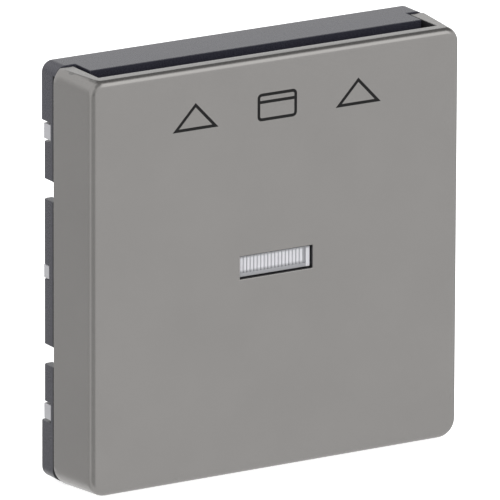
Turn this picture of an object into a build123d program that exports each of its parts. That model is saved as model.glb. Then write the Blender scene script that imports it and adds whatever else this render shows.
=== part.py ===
from build123d import *
import os
from math import atan, cos, degrees, radians, sin, sqrt

# Hotel key card switch. All sizes are in millimetres and degrees.
# X points right, Z points up, and Y points into the wall.
# The origin is the centre of the rear plane that the corner feet rest on.
# Depths are counted from the front face of the cover towards the wall.

# The card and the slot that takes it
card_width = 54.0
card_play = 0.8
slot_margin = 1.2
slot_gap = 3.2
card_channel = 1.2

# Front cover: a lacquered shell with an open top
side_wall = 2.6
side_draft = 0.7
lower_corner_r = 3.4
upper_corner_r = 3.0
front_edge_r = 1.2
cover_depth = 9.6
front_wall = 2.4
cavity_corner_r = 1.2

# Ribs and ledges that guide the card and stop it
guide_rib_width = 1.0
guide_rib_inner_x = 11.0
guide_rib_outer_x = 22.0
guide_rib_top_gap = 4.1
guide_rib_lead = 4.0
rib_stop_gap = 0.5
edge_guide_gap = 0.4
edge_guide_top_gap = 5.1
stop_height = 2.1

# Carrier frame: partition, skirt, top bar and rim
partition_wall = 1.6
fit_gap = 0.2
skirt_wall = 1.4
skirt_corner_r = 1.0
seam_gap = 0.25
rim_inset = 0.5
rim_depth = 3.7
rim_wall = 1.5
rim_corner_r = 1.7
rim_edge = 0.4
flange_wall = 1.4
foot_step = 0.8
foot_length = 8.65
bar_gap = 0.5
stiffener_width = 1.2
stiffener_height = 1.8
stiffener_gap = 1.4

# Notches in the rim, and the clips in them
pry_notch_height = 3.0
pry_notch_z = 12.3
clip_notch_height = 3.0
clip_height = 2.3
middle_clip_height = 2.0
middle_clip_step = 0.45
clip_gap = 0.1
clip_leg = 1.0
clip_barb = 0.5

# Catches that hold the cover on the carrier
catch_z = 9.0
catch_length = 6.0
catch_height = 0.8
catch_depth = 1.2
catch_flat = 0.4
catch_inset = 0.4
catch_gap = 0.2

# Window, lens and light guide
window_width = 12.2
window_height = 3.4
lens_gap = 0.2
lens_recess = 0.6
lens_flange_margin = 1.6
lens_flange_depth = 1.0
lens_rib_count = 18
lens_rib_depth = 0.25
lens_rib_crest = 0.12
lens_left_land = 0.15
lens_right_land = 0.95
lens_top_land = 0.25
lens_bottom_land = 0.45
guide_flange_margin = 0.9
guide_flange_depth = 0.8

# Corner bosses for the fixing screws
fix_inset = 3.6
fix_hole_r = 1.7
fix_boss_r = 3.8
fix_head_r = 2.9
fix_head_depth = 2.6

# Circuit board and what it carries
board_standoff = 2.0
board_wall = 1.0
board_half_width = 12.5
board_bottom_z = -4.6
board_top_z = 10.2
board_post_r = 1.6
board_post_inset = 2.0
board_screw_r = 0.75
board_screw_head_r = 1.5
board_screw_head = 0.8
board_screw_length = 2.6
pilot_gap = 0.05
screw_hole_gap = 0.15
led_width = 3.5
led_height = 2.8
led_corner = 0.3
led_gap = 0.3
led_spacing = 6.0
component_z = 2.0
resistor_x = -4.5
resistor_width = 6.3
resistor_height = 3.2
resistor_thickness = 0.6
resistor_cap = 0.6
resistor_body_inset = 0.1
diode_x = 5.0
diode_width = 4.3
diode_height = 2.6
diode_thickness = 2.0
diode_foot = 0.4
diode_foot_height = 1.3
diode_lift = 0.2
contact_pin_r = 0.5
contact_pin_rise = 2.8
contact_collar_r = 0.9
contact_collar = 0.6

# Card lever on its pin
hub_r = 2.2
hub_width = 10.0
hub_gap = 1.6
hub_offset = 0.7
pin_r = 1.0
pin_seat_gap = 0.02
lever_bore_gap = 0.06
ear_width = 2.0
ear_r = 2.0
ear_gap = 0.2
lever_travel = 10.5
arm_width = 9.0
arm_gap = 0.8
arm_thickness = 1.8
nose_width = 8.0
nose_tip_gap = 0.6
nose_tip_height = 2.0
nose_tip_r = 0.4
nose_drop = 6.1
nose_stop_gap = 2.2
nose_bottom_rise = 1.3
nose_window_gap = 0.7
push_width = 3.0
push_gap = 0.1
pad_r = 1.0

# Return spring between the lever and the housing
spring_arm = 7.1
spring_r = 2.0
spring_wire_r = 0.2
spring_wire_sides = 4
spring_turns = 4
spring_gap = 0.1
spring_length = 6.0
spring_post_r = 2.6
spigot_r = 1.1
spigot_length = 1.2

# Mechanism housing
housing_standoff = 3.6
housing_flange = 1.6
housing_gap = 0.5
housing_wall = 1.6
housing_floor = 1.6
housing_floor_gap = 2.8
housing_edge = 0.5
housing_lobe_r = 3.0
housing_lobe_gap = 0.27
housing_boss_r = 2.4
housing_screw_r = 0.85
housing_head_r = 1.5
housing_head_gap = 0.957
housing_head = 1.2
housing_screw_length = 3.6
relief_side_gap = 1.2
relief_gap = 0.6
key_width = 4.0
key_depth = 0.8
head_slot = 0.5
small_sides = 12

# Snap switch
switch_half_width = 9.9
switch_wall = 0.8
lid_wall = 0.8
lid_edge = 0.2
lid_gap = 0.4
tab_gap = 1.0
socket_depth = 1.2
socket_wall = 1.2
socket_gap = 0.1
socket_ledge = 1.4
plunger_x = 1.5
plunger_width = 2.4
plunger_depth = 2.5
plunger_reach = 1.3
plunger_tip_r = 0.6
plunger_gap = 0.1
collar_reach = 0.8
collar_height = 0.8
slot_clearance = 0.1
blade_height = 5.0
blade_wall = 0.4
blade_width = 2.2
blade_side_gap = 0.4
blade_bead_r = 0.3
blade_tip = 1.0
contact_gap = 0.05
contact_inset = 2.4
rivet_r = 0.9
rivet_head = 0.45
rivet_shank_r = 0.4
rivet_gap = 0.02

# Terminals, cages and their screws
strip_wall = 0.7
strip_width = 1.8
middle_strip_width = 2.4
strip_gap = 0.5
strip_bend_r = 0.4
strip_end_gap = 0.7
root_gap = 0.2
root_rise = 1.2
arm_rise = 1.3
arm_top_gap = 0.4
cage_rise = 5.3
cage_width = 6.2
cage_height = 5.5
cage_corner = 0.6
cage_front_wall = 0.9
cage_rear_wall = 2.0
cage_mouth_width = 3.8
cage_mouth_depth = 3.6
mouth_gap = 0.2
block_wall = 1.1
block_gap = 0.1
terminal_screw_r = 1.15
terminal_screw_gap = 0.1
terminal_screw_reach = 2.0
terminal_head_r = 2.1
terminal_head = 1.4
driver_hole_gap = 0.4
wire_hole_r = 1.5

# How far a cutting tool runs past what it cuts
overrun = 1.0

# Outlines, from the card outwards
cover_inner_half = card_width / 2 + slot_margin
front_half = cover_inner_half + side_wall
half_side = front_half + side_draft
skirt_half = cover_inner_half - fit_gap
skirt_inner_half = skirt_half - skirt_wall
rim_half = half_side - rim_inset
rim_inner_half = rim_half - rim_wall
foot_z = rim_half - foot_length
clip_z = foot_z - clip_notch_height / 2
clip_places = [(clip_z, clip_height), (0, middle_clip_height), (-clip_z, clip_height)]
fix_half = skirt_inner_half - fix_inset
housing_flange_r = skirt_inner_half - housing_gap
housing_screw_xz = fix_half - (fix_boss_r + housing_lobe_gap + housing_lobe_r) / sqrt(2)
housing_r = sqrt(2) * housing_screw_xz - housing_head_r - housing_head_gap
housing_inner_r = housing_r - housing_wall
corners = [(-1, -1), (1, -1), (-1, 1), (1, 1)]

# Depths, from the front face towards the wall
slot_rear = front_wall + slot_gap
partition_rear = slot_rear + partition_wall
rim_front = cover_depth + seam_gap
rim_rear = cover_depth + rim_depth
body_depth = rim_rear + foot_step
flange_rear = rim_front + flange_wall
catch_rear = cover_depth - catch_inset
catch_front = catch_rear - catch_depth
board_front = partition_rear + board_standoff
board_rear = board_front + board_wall
arm_front = partition_rear + arm_gap
arm_rear = arm_front + arm_thickness
pivot_depth = arm_rear + hub_offset
housing_seat = partition_rear + housing_standoff
housing_flange_rear = housing_seat + housing_flange
lid_front = board_rear + diode_thickness + lid_gap
case_front = lid_front + lid_wall
strip_front = case_front + strip_gap
strip_rear = strip_front + strip_wall
blade_front = strip_rear + blade_side_gap
blade_rear = blade_front + blade_width
blade_mid = (blade_front + blade_rear) / 2
case_rear = blade_rear + tab_gap + switch_wall
floor_front = case_rear + housing_floor_gap
housing_rear = floor_front + housing_floor
mouth_front = strip_front - slot_clearance
mouth_rear = mouth_front + cage_mouth_depth
cage_front = mouth_front - cage_front_wall
cage_rear = mouth_rear + cage_rear_wall
wire_depth = (strip_rear + mouth_rear) / 2

# Heights of the card stop and of the lever
card_stop_z = stop_height - skirt_half
pivot_z = board_bottom_z - hub_gap - hub_r
nose_bottom_z = card_stop_z + nose_stop_gap
nose_top_z = pivot_z - nose_drop
nose_tip_bottom_z = nose_bottom_z + nose_bottom_rise
spring_z = pivot_z - spring_arm

# Heights and places in the switch, from the lever upwards
plunger_bottom_z = pivot_z + pad_r + push_gap
switch_bottom_z = plunger_bottom_z + plunger_reach
blade_z = switch_bottom_z + blade_height
blade_under_z = blade_z - blade_wall / 2
blade_over_z = blade_z + blade_wall / 2
strip_x = switch_half_width - switch_wall - root_gap - strip_width / 2
strip_places = [(-strip_x, strip_width), (0, middle_strip_width), (strip_x, strip_width)]
common_tab_x = strip_wall - strip_x - strip_width / 2
blade_root_x = common_tab_x + contact_gap + blade_bead_r
contact_x = strip_x - contact_inset
plunger_rise = (blade_mid - pivot_depth) * radians(lever_travel)
blade_turn = atan(plunger_rise / (plunger_x - blade_root_x))
contact_rise = (contact_x + rivet_r - blade_root_x) * sin(blade_turn)
closed_face_z = blade_under_z - rivet_head - contact_gap
open_face_z = blade_over_z + rivet_head + contact_rise + contact_gap
open_root_z = open_face_z + rivet_head
switch_top_z = open_root_z + arm_rise + arm_top_gap + switch_wall
contact_pin_z = switch_top_z + contact_pin_rise
cage_bottom_z = switch_top_z + cage_rise
cage_top_z = cage_bottom_z + cage_height
cage_middle_z = (cage_bottom_z + cage_top_z) / 2
strip_top_z = cage_top_z - strip_end_gap
terminal_pitch = strip_x + (cage_mouth_width - strip_width) / 2 - mouth_gap
terminal_places = [-terminal_pitch, 0, terminal_pitch]
lever_swing = (pivot_z - nose_bottom_z) * sin(radians(lever_travel))


def span(centre, width):
    """The two ends of a width about a centre."""
    return (centre - width / 2, centre + width / 2)


def block(x_span, depth_span, z_span):
    """A box between two limits on each axis."""
    spans = (x_span, depth_span, z_span)
    size = [high - low for low, high in spans]
    x, depth, z = [(low + high) / 2 for low, high in spans]
    return Pos(x, depth - body_depth, z) * Box(*size)


def post(radius, x, z, depth_span):
    """A round bar along the depth."""
    front, rear = depth_span
    bar = Rot(90, 0, 0) * Cylinder(radius, rear - front)
    return Pos(x, (front + rear) / 2 - body_depth, z) * bar


def axle(radius, depth, z, x_span):
    """A round bar along X."""
    left, right = x_span
    bar = Rot(0, 90, 0) * Cylinder(radius, right - left)
    return Pos((left + right) / 2, depth - body_depth, z) * bar


def upright(radius, x, depth, z_span):
    """A round bar along Z."""
    low, high = z_span
    return Pos(x, depth - body_depth, (low + high) / 2) * Cylinder(radius, high - low)


def at_depth(depth):
    """The plane at a depth, facing the viewer, with X right and Z up."""
    return Plane.XZ.offset(body_depth - depth)


def prism(sketch, depth_span):
    """An outline seen from the front, drawn out between two depths."""
    front, rear = depth_span
    return extrude(at_depth(rear) * sketch, amount=rear - front)


def side_prism(points, x_span):
    """An outline of (depth, z) points, drawn out along X."""
    left, right = x_span
    outline = [(depth - body_depth, z) for depth, z in points]
    face = Plane.YZ.offset(left) * make_face(Polyline(*outline, close=True))
    return extrude(face, amount=right - left)


def top_prism(points, z_span):
    """An outline of (x, depth) points, drawn out along Z."""
    low, high = z_span
    outline = [(x, depth - body_depth) for x, depth in points]
    face = Plane.XY.offset(low) * make_face(Polyline(*outline, close=True))
    return extrude(face, amount=high - low)


def turned(points, x, z):
    """A half outline of (radius, depth) points, turned about an axis along the depth."""
    outline = [(radius, depth - body_depth) for radius, depth in points]
    body = revolve(make_face(Polyline(*outline, close=True)), Axis.Y)
    return Pos(x, 0, z) * body


def square(half, corner_r):
    """A square outline with round corners."""
    return RectangleRounded(half + half, half + half, corner_r)


def mirrored(solid):
    """A solid and its mirror image across the middle plane."""
    return solid + mirror(solid, about=Plane.YZ)


def front_face(solid):
    """The face of a solid nearest the viewer."""
    return solid.faces().sort_by(Axis.Y)[0]


def rear_face(solid):
    """The face of a solid nearest the wall."""
    return solid.faces().sort_by(Axis.Y)[-1]


def many_sided(radius, x, z, depth_span):
    """A many-sided bar along the depth, for small pieces that repeat."""
    return prism(Pos(x, z) * RegularPolygon(radius, small_sides), depth_span)


def screw(radius, head_r, head, x, z, depths):
    """A screw from its tip to the seat of its slotted head."""
    tip, seat = depths
    top = seat + head
    body = many_sided(radius, x, z, (tip, seat)) + many_sided(head_r, x, z, (seat, top))
    groove = (seat + head / 2, top + overrun)
    return body - block(span(x, 2 * head_r + overrun), groove, span(z, head_slot))


def guide_rib(x):
    """A rib on the front wall that keeps the card near the partition."""
    tip = slot_rear - card_channel
    root = front_wall / 2
    bottom_z = card_stop_z + rib_stop_gap
    top_z = skirt_half - guide_rib_top_gap
    points = [
        (root, bottom_z),
        (tip, bottom_z),
        (tip, top_z - guide_rib_lead),
        (front_wall, top_z),
        (root, top_z),
    ]
    return side_prism(points, span(x, guide_rib_width))


def catch(z):
    """A wedge inside the right wall that snaps into the skirt's window."""
    root = cover_inner_half + side_wall / 2
    tip = cover_inner_half - catch_height
    points = [
        (root, catch_front),
        (tip, catch_front),
        (tip, catch_front + catch_flat),
        (cover_inner_half, catch_rear),
        (root, catch_rear),
    ]
    return top_prism(points, span(z, catch_length))


def cover_blank():
    """The outside of the cover: drafted sides, rounded front edges and a level top."""
    outline = Rectangle(half_side + half_side, half_side + half_side)
    outline = fillet(outline.vertices().group_by(Axis.Y)[-1], upper_corner_r)
    outline = fillet(outline.vertices().group_by(Axis.Y)[0], lower_corner_r)
    draft = degrees(atan(side_draft / cover_depth))
    blank = extrude(at_depth(cover_depth) * outline, amount=cover_depth, taper=draft)
    blank = fillet(front_face(blank).edges(), front_edge_r)
    around = 2 * (half_side + overrun)
    return blank - block(
        span(0, around), span(cover_depth / 2, around), (front_half, half_side + overrun)
    )


def front_cover():
    """The visible shell: drafted sides, rounded front edges and an open top."""
    shell = cover_blank()
    inside = (front_wall, cover_depth + overrun)
    shell -= prism(square(cover_inner_half, cavity_corner_r), inside)
    shell -= block(span(0, 2 * cover_inner_half), inside, (0, half_side + overrun))
    shell -= block(
        span(0, window_width), (-overrun, front_wall + overrun), span(0, window_height)
    )
    margin = 2 * (lens_flange_margin + lens_gap)
    shell -= block(
        span(0, window_width + margin),
        (front_wall - lens_flange_depth, front_wall + overrun),
        span(0, window_height + margin),
    )
    for x in (guide_rib_inner_x, guide_rib_outer_x):
        shell += mirrored(guide_rib(x))
    for z in (catch_z, -catch_z):
        shell += mirrored(catch(z))
    return shell


def window_lens():
    """Clear insert with a flange behind the window and upright grooves in front."""
    width = window_width - 2 * lens_gap
    height = window_height - 2 * lens_gap
    seat = front_wall - lens_flange_depth
    flange = (seat, front_wall - lens_gap / 2)
    lens = block(span(0, width), (lens_recess, flange[1]), span(0, height))
    lens += block(
        span(0, window_width + 2 * lens_flange_margin),
        flange,
        span(0, window_height + 2 * lens_flange_margin),
    )
    left = lens_left_land - width / 2
    pitch = (width - lens_left_land - lens_right_land) / lens_rib_count
    bottom_z = lens_bottom_land - height / 2
    top_z = height / 2 - lens_top_land
    for i in range(lens_rib_count):
        start = left + i * pitch
        end = start + pitch - lens_rib_crest
        points = [
            (start, lens_recess),
            (end, lens_recess),
            ((start + end) / 2, lens_recess + lens_rib_depth),
        ]
        lens -= top_prism(points, (bottom_z, top_z))
    return lens


def light_guide():
    """Clear plug through the partition, with a flange behind it."""
    width = window_width - 2 * lens_gap
    height = window_height - 2 * lens_gap
    margin = 2 * guide_flange_margin
    plug = block(span(0, width), (slot_rear, partition_rear), span(0, height))
    flange = (partition_rear, partition_rear + guide_flange_depth)
    return plug + block(span(0, width + margin), flange, span(0, height + margin))


def clip_notch_floor(z):
    """Depth of the floor of a clip's notch; the middle one is shallower."""
    return flange_rear + (middle_clip_step if z == 0 else 0)


def retaining_clips():
    """Six clips that sit in the rim's notches and hook inwards."""
    leg_outer = rim_inner_half - clip_gap
    leg_inner = leg_outer - clip_leg
    leg_rear = body_depth - clip_gap
    clips = []
    for z, height in clip_places:
        points = [
            (leg_inner, flange_rear),
            (leg_inner, rim_rear - clip_barb),
            (leg_inner - clip_barb, rim_rear),
            (leg_inner, leg_rear),
            (leg_outer, leg_rear),
            (leg_outer, flange_rear),
        ]
        heights = span(z, height)
        clip = top_prism(points, heights)
        clip += block((leg_inner, rim_half - clip_gap), (clip_notch_floor(z), rim_rear), heights)
        clips += [clip, mirror(clip, about=Plane.YZ)]
    return clips


def pry_notch(z):
    """A cut through the right rim, for prising the cover off."""
    sides = (skirt_inner_half - overrun, rim_half + overrun)
    return block(sides, (cover_depth, body_depth + overrun), span(z, pry_notch_height))


def rim_ring(rear):
    """A square wall behind the cover, with its outer rear edge taken off."""
    ring = prism(square(rim_half, rim_corner_r), (rim_front, rear))
    ring = chamfer(rear_face(ring).edges(), rim_edge)
    inside = square(rim_inner_half, rim_corner_r - rim_wall)
    return ring - prism(inside, (rim_front - overrun, rear + overrun))


def rim():
    """The frame behind the cover: wall, corner feet, flange and side notches."""
    middle = block(
        span(0, 2 * (rim_half + overrun)), (rim_front - overrun, body_depth + overrun), span(0, 2 * foot_z)
    )
    ring = rim_ring(rim_rear) + (rim_ring(body_depth) - middle)
    flange = square(rim_half, rim_corner_r) - square(skirt_inner_half, skirt_corner_r)
    ring += prism(flange, (rim_front, flange_rear))
    for z in (pry_notch_z, -pry_notch_z):
        ring -= mirrored(pry_notch(z))
    for z, height in clip_places:
        opening = clip_notch_height if z else height + 2 * clip_gap
        cut = (clip_notch_floor(z), body_depth + overrun)
        side = (rim_inner_half - clip_gap, rim_half + overrun)
        ring -= mirrored(block(side, cut, span(z, opening)))
    return ring


def pin_ear():
    """The right bearing ear of the lever pin."""
    inner = hub_width / 2 + ear_gap
    sides = (inner, inner + ear_width)
    foot = (partition_rear - partition_wall / 2, pivot_depth)
    return block(sides, foot, span(pivot_z, 2 * ear_r)) + axle(ear_r, pivot_depth, pivot_z, sides)


def board_posts():
    """Places of the four posts that carry the circuit board; the first two take screws."""
    x = board_half_width - board_post_inset
    low = board_bottom_z + board_post_inset
    high = board_top_z - board_post_inset
    return [(x, high), (-x, low), (-x, high), (x, low)]


def partition():
    """The wall behind the slot, with its skirt, top bar, card guides and stop."""
    root = partition_rear - partition_wall / 2
    wall = prism(square(skirt_half, skirt_corner_r), (slot_rear, partition_rear))
    tube = square(skirt_half, skirt_corner_r) - square(skirt_inner_half, skirt_corner_r)
    wall += prism(tube, (root, flange_rear))
    bar_width = 2 * (cover_inner_half - bar_gap)
    wall += block(span(0, bar_width), (slot_rear, flange_rear), (skirt_inner_half, rim_half))

    channel = card_width + card_play
    guide_depths = (front_wall + edge_guide_gap, partition_rear)
    guide_heights = (skirt_corner_r - skirt_half, skirt_half - edge_guide_top_gap)
    wall += mirrored(block((channel / 2, skirt_half), guide_depths, guide_heights))
    return wall + block(span(0, channel), guide_depths, (-skirt_half, card_stop_z))


def stiffeners():
    """Ribs behind the partition: two uprights and a pair at each housing boss."""
    depths = (partition_rear - partition_wall / 2, partition_rear + stiffener_height)
    x = board_half_width + stiffener_gap + stiffener_width / 2
    ribs = mirrored(block(span(x, stiffener_width), depths, span(0, 2 * skirt_half)))
    outwards = (housing_screw_xz, skirt_half)
    across = span(housing_screw_xz, stiffener_width)
    boss_ribs = block(outwards, depths, across) + block(across, depths, outwards)
    boss_ribs += mirror(boss_ribs, about=Plane.XY)
    return ribs + mirrored(boss_ribs)


def carrier_frame():
    """Partition, skirt and rim in one moulding, with its bosses and ears."""
    root = partition_rear - partition_wall / 2
    frame = partition() + rim() + stiffeners() + mirrored(pin_ear())
    for x, z in corners:
        frame += post(fix_boss_r, x * fix_half, z * fix_half, (root, body_depth))
        frame += post(housing_boss_r, x * housing_screw_xz, z * housing_screw_xz, (root, housing_seat))
    for x, z in board_posts():
        frame += post(board_post_r, x, z, (root, board_front))

    ahead = slot_rear - overrun
    for x, z in corners:
        frame -= post(fix_hole_r, x * fix_half, z * fix_half, (ahead, body_depth + overrun))
        frame -= post(fix_head_r, x * fix_half, z * fix_half, (ahead, slot_rear + fix_head_depth))
        pilot = (housing_flange_rear - housing_screw_length, housing_seat + overrun)
        frame -= post(
            housing_screw_r + pilot_gap, x * housing_screw_xz, z * housing_screw_xz, pilot
        )
    for x, z in board_posts()[:2]:
        pilot = (board_rear - board_screw_length - pilot_gap, board_front + overrun)
        frame -= post(board_screw_r + pilot_gap, x, z, pilot)
    ears = hub_width + 2 * (ear_gap + ear_width)
    frame -= axle(pin_r + pin_seat_gap, pivot_depth, pivot_z, span(0, ears + overrun))

    through = (ahead, partition_rear + overrun)
    frame -= block(span(0, window_width - lens_gap), through, span(0, window_height - lens_gap))
    frame -= block(
        span(0, nose_width + 2 * nose_window_gap),
        through,
        (nose_bottom_z - nose_window_gap, nose_top_z + nose_window_gap),
    )
    for z in (catch_z, -catch_z):
        window = block(
            (skirt_inner_half - overrun, skirt_half + fit_gap / 2),
            (catch_front - catch_gap, catch_rear + catch_gap),
            span(z, catch_length + 2 * catch_gap),
        )
        frame -= mirrored(window)
    return frame


def card_lever():
    """Rocker with a sloping nose in the slot and an arm that lifts the plunger."""
    lever = axle(hub_r, pivot_depth, pivot_z, span(0, hub_width))
    lever += block(span(0, arm_width), (arm_front, arm_rear), (nose_bottom_z, pivot_z))
    tip = front_wall + nose_tip_gap
    nose = side_prism(
        [
            (arm_rear, nose_top_z),
            (arm_front, nose_top_z),
            (tip, nose_tip_bottom_z + nose_tip_height),
            (tip, nose_tip_bottom_z),
            (arm_front, nose_bottom_z),
            (arm_rear, nose_bottom_z),
        ],
        span(0, nose_width),
    )
    lever += fillet(front_face(nose).edges().filter_by(Axis.X), nose_tip_r)
    push = span(plunger_x, push_width)
    lever += block(push, (pivot_depth, blade_mid), (pivot_z - pad_r, pivot_z + pad_r / 2))
    lever += axle(pad_r, blade_mid, pivot_z, push)
    lever += post(spigot_r, 0, spring_z, (arm_front, arm_rear + spigot_length))
    return lever - axle(pin_r + lever_bore_gap, pivot_depth, pivot_z, span(0, hub_width + overrun))


def lever_pin():
    """Steel pin through both ears and the lever's hub."""
    return axle(pin_r, pivot_depth, pivot_z, span(0, hub_width + 2 * (ear_width + ear_gap)))


def lever_spring():
    """Compression spring between the lever and the housing's post."""
    pitch = (spring_length - 2 * (spring_wire_r + spring_gap)) / spring_turns
    path = Helix(pitch, spring_turns * pitch, spring_r)
    start = Plane(origin=path @ 0, z_dir=path % 0)
    coil = sweep(start * RegularPolygon(spring_wire_r, spring_wire_sides), path)
    front = arm_rear + spring_gap + spring_wire_r
    return Pos(0, front - body_depth, spring_z) * Rot(-90, 0, 0) * coil


def circuit_board():
    """Board behind the partition, with its screw holes."""
    board = block(
        span(0, 2 * board_half_width), (board_front, board_rear), (board_bottom_z, board_top_z)
    )
    through = (board_front - overrun, board_rear + overrun)
    for x, z in board_posts()[:2]:
        board -= post(board_screw_r + screw_hole_gap, x, z, through)
    return board


def indicator_leds():
    """Two lamps on the front of the board."""
    front = partition_rear + guide_flange_depth + led_gap
    lamps = []
    for x in span(0, led_spacing):
        lamp = block(span(x, led_width), (front, board_front), span(0, led_height))
        lamps.append(chamfer(lamp.edges().filter_by(Axis.Y), led_corner))
    return lamps


def series_resistor():
    """Chip resistor with an end cap on each side."""
    chip = block(
        span(resistor_x, resistor_width),
        (board_rear, board_rear + resistor_thickness - resistor_body_inset),
        span(component_z, resistor_height - 2 * resistor_body_inset),
    )
    for x in span(resistor_x, resistor_width - resistor_cap):
        chip += block(
            span(x, resistor_cap),
            (board_rear, board_rear + resistor_thickness),
            span(component_z, resistor_height),
        )
    return chip


def blocking_diode():
    """Moulded diode with a bent foot under each end."""
    body = block(
        span(diode_x, diode_width),
        (board_rear + diode_lift, board_rear + diode_thickness),
        span(component_z, diode_height),
    )
    feet = block(
        span(diode_x, diode_width + 2 * diode_foot),
        (board_rear, board_rear + diode_foot),
        span(component_z, diode_foot_height),
    )
    return body + feet


def board_screws():
    """Two screws that hold the board on its posts."""
    depths = (board_rear - board_screw_length, board_rear)
    return [
        screw(board_screw_r, board_screw_head_r, board_screw_head, x, z, depths)
        for x, z in board_posts()[:2]
    ]


def lamp_contacts():
    """Two pins from the board to the common and the open terminal."""
    collar = (board_rear, board_rear + contact_collar)
    pin = (collar[1], strip_front)
    return [
        many_sided(contact_collar_r, x, contact_pin_z, collar)
        + many_sided(contact_pin_r, x, contact_pin_z, pin)
        for x, width in strip_places[:2]
    ]


def housing_cup():
    """The turned form of the housing: flange, wall and floor."""
    cup = turned(
        [
            (0, floor_front),
            (housing_inner_r, floor_front),
            (housing_inner_r, housing_seat),
            (housing_flange_r, housing_seat),
            (housing_flange_r, housing_flange_rear),
            (housing_r, housing_flange_rear),
            (housing_r, housing_rear),
            (0, housing_rear),
        ],
        0,
        0,
    )
    return chamfer(rear_face(cup).edges(), housing_edge)


def housing_screw_places():
    """Places of the screws on the housing's lobes."""
    return [(x * housing_screw_xz, z * housing_screw_xz) for x, z in corners]


def mechanism_housing():
    """Round cup that closes the back and carries the switch and the terminals."""
    cup = housing_cup()
    inside = (housing_seat - overrun, floor_front)
    for x, z in housing_screw_places():
        lobe = post(housing_lobe_r, x, z, (housing_seat, housing_flange_rear))
        cup += lobe - post(housing_inner_r, 0, 0, inside)
        hole = (housing_seat - overrun, housing_flange_rear + overrun)
        cup -= post(housing_screw_r + screw_hole_gap, x, z, hole)

    # Relief for the lower end of the lever at its limit
    relief_rear = pivot_depth + lever_swing - hub_offset * cos(radians(lever_travel)) + relief_gap
    cup -= block(
        span(0, arm_width + 2 * relief_side_gap),
        (housing_seat - overrun, relief_rear),
        (-housing_flange_r - overrun, pivot_z),
    )
    # Key that sets which way is up
    key = (housing_flange_rear + overrun, housing_rear + overrun)
    cup -= block(span(0, key_width), key, (-housing_r - overrun, key_depth - housing_r))

    # Socket that holds the snap switch
    root = floor_front + housing_floor / 2
    side = 2 * (switch_half_width + socket_gap)
    low = switch_bottom_z - socket_gap
    high = switch_top_z + socket_gap
    mouth = case_rear - socket_depth
    cup += block(
        span(0, side + 2 * socket_wall), (mouth, root), (low - socket_wall, high + socket_wall)
    )
    cup -= block(span(0, side), (mouth - overrun, case_rear), (low, high))
    cup -= block(
        span(0, side - 2 * socket_ledge),
        (case_rear - overrun, floor_front),
        (low + socket_ledge, high - socket_ledge),
    )

    # Post that the return spring rests on
    spring_seat = arm_rear + spring_length
    cup += turned(
        [
            (0, spring_seat - spigot_length),
            (spigot_r, spring_seat - spigot_length),
            (spigot_r, spring_seat),
            (spring_post_r, spring_seat),
            (spring_post_r, root),
            (0, root),
        ],
        0,
        spring_z,
    )

    # Terminal block with a chamber for each cage
    chamber = cage_width + 2 * block_gap
    cup += block(
        span(0, 2 * terminal_pitch + chamber + 2 * block_wall),
        (strip_rear + block_gap, root),
        (cage_bottom_z - block_gap - block_wall, cage_top_z + block_gap + block_wall),
    )
    for x in terminal_places:
        cup -= block(
            span(x, chamber),
            (strip_rear, cage_rear + block_gap),
            (cage_bottom_z - block_gap, cage_top_z + block_gap),
        )
        driver = (cage_rear, housing_rear + overrun)
        cup -= post(terminal_head_r + driver_hole_gap, x, cage_middle_z, driver)
        cup -= upright(wire_hole_r, x, wire_depth, (cage_top_z, housing_r + overrun))
    return cup


def housing_screws():
    """Four screws that hold the mechanism housing on its bosses."""
    depths = (housing_flange_rear - housing_screw_length, housing_flange_rear)
    return [
        screw(housing_screw_r, housing_head_r, housing_head, x, z, depths)
        for x, z in housing_screw_places()
    ]


def switch_case():
    """Moulded case of the snap switch, open towards the front."""
    case = block(
        span(0, 2 * switch_half_width), (case_front, case_rear), (switch_bottom_z, switch_top_z)
    )
    case -= block(
        span(0, 2 * (switch_half_width - switch_wall)),
        (case_front - overrun, case_rear - switch_wall),
        (switch_bottom_z + switch_wall, switch_top_z - switch_wall),
    )
    case -= block(
        span(plunger_x, plunger_width + 2 * slot_clearance),
        span(blade_mid, plunger_depth + 2 * slot_clearance),
        (switch_bottom_z - overrun, switch_bottom_z + switch_wall + overrun),
    )
    for x, width in strip_places:
        case -= block(
            span(x, width + 2 * slot_clearance),
            (case_front - overrun, strip_rear + slot_clearance),
            (switch_top_z - switch_wall - overrun, switch_top_z + overrun),
        )
    return case


def switch_lid():
    """Lid that closes the front of the switch case."""
    lid = block(
        span(0, 2 * switch_half_width), (lid_front, case_front), (switch_bottom_z, switch_top_z)
    )
    return chamfer(front_face(lid).edges(), lid_edge)


def switch_plunger():
    """Button that the lever lifts, with a collar that keeps it in the case."""
    depths = span(blade_mid, plunger_depth)
    tip_z = blade_under_z - plunger_gap - plunger_tip_r
    collar_z = switch_bottom_z + switch_wall + slot_clearance + plunger_gap
    plunger = block(
        span(plunger_x, plunger_width), depths, (plunger_bottom_z, tip_z - plunger_tip_r)
    )
    plunger += block(span(plunger_x, 2 * plunger_tip_r), depths, (plunger_bottom_z, tip_z))
    plunger += post(plunger_tip_r, plunger_x, tip_z, depths)
    collar = span(plunger_x, plunger_width + 2 * collar_reach)
    return plunger + block(collar, depths, (collar_z, collar_z + collar_height))


def contact_blade():
    """Spring blade with a rolled root, which carries the moving contact."""
    depths = (blade_front, blade_rear)
    blade = block((blade_root_x, contact_x + blade_tip), depths, span(blade_z, blade_wall))
    blade += post(blade_bead_r, blade_root_x, blade_z, depths)
    hole = span(blade_z, blade_wall + overrun)
    return blade - upright(rivet_shank_r + rivet_gap, contact_x, blade_mid, hole)


def moving_contact():
    """Double-headed contact rivet through the blade."""
    rivet = upright(rivet_shank_r, contact_x, blade_mid, span(blade_z, blade_wall + rivet_head))
    for low in (blade_under_z - rivet_head, blade_over_z):
        rivet += upright(rivet_r, contact_x, blade_mid, (low, low + rivet_head))
    return rivet


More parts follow.
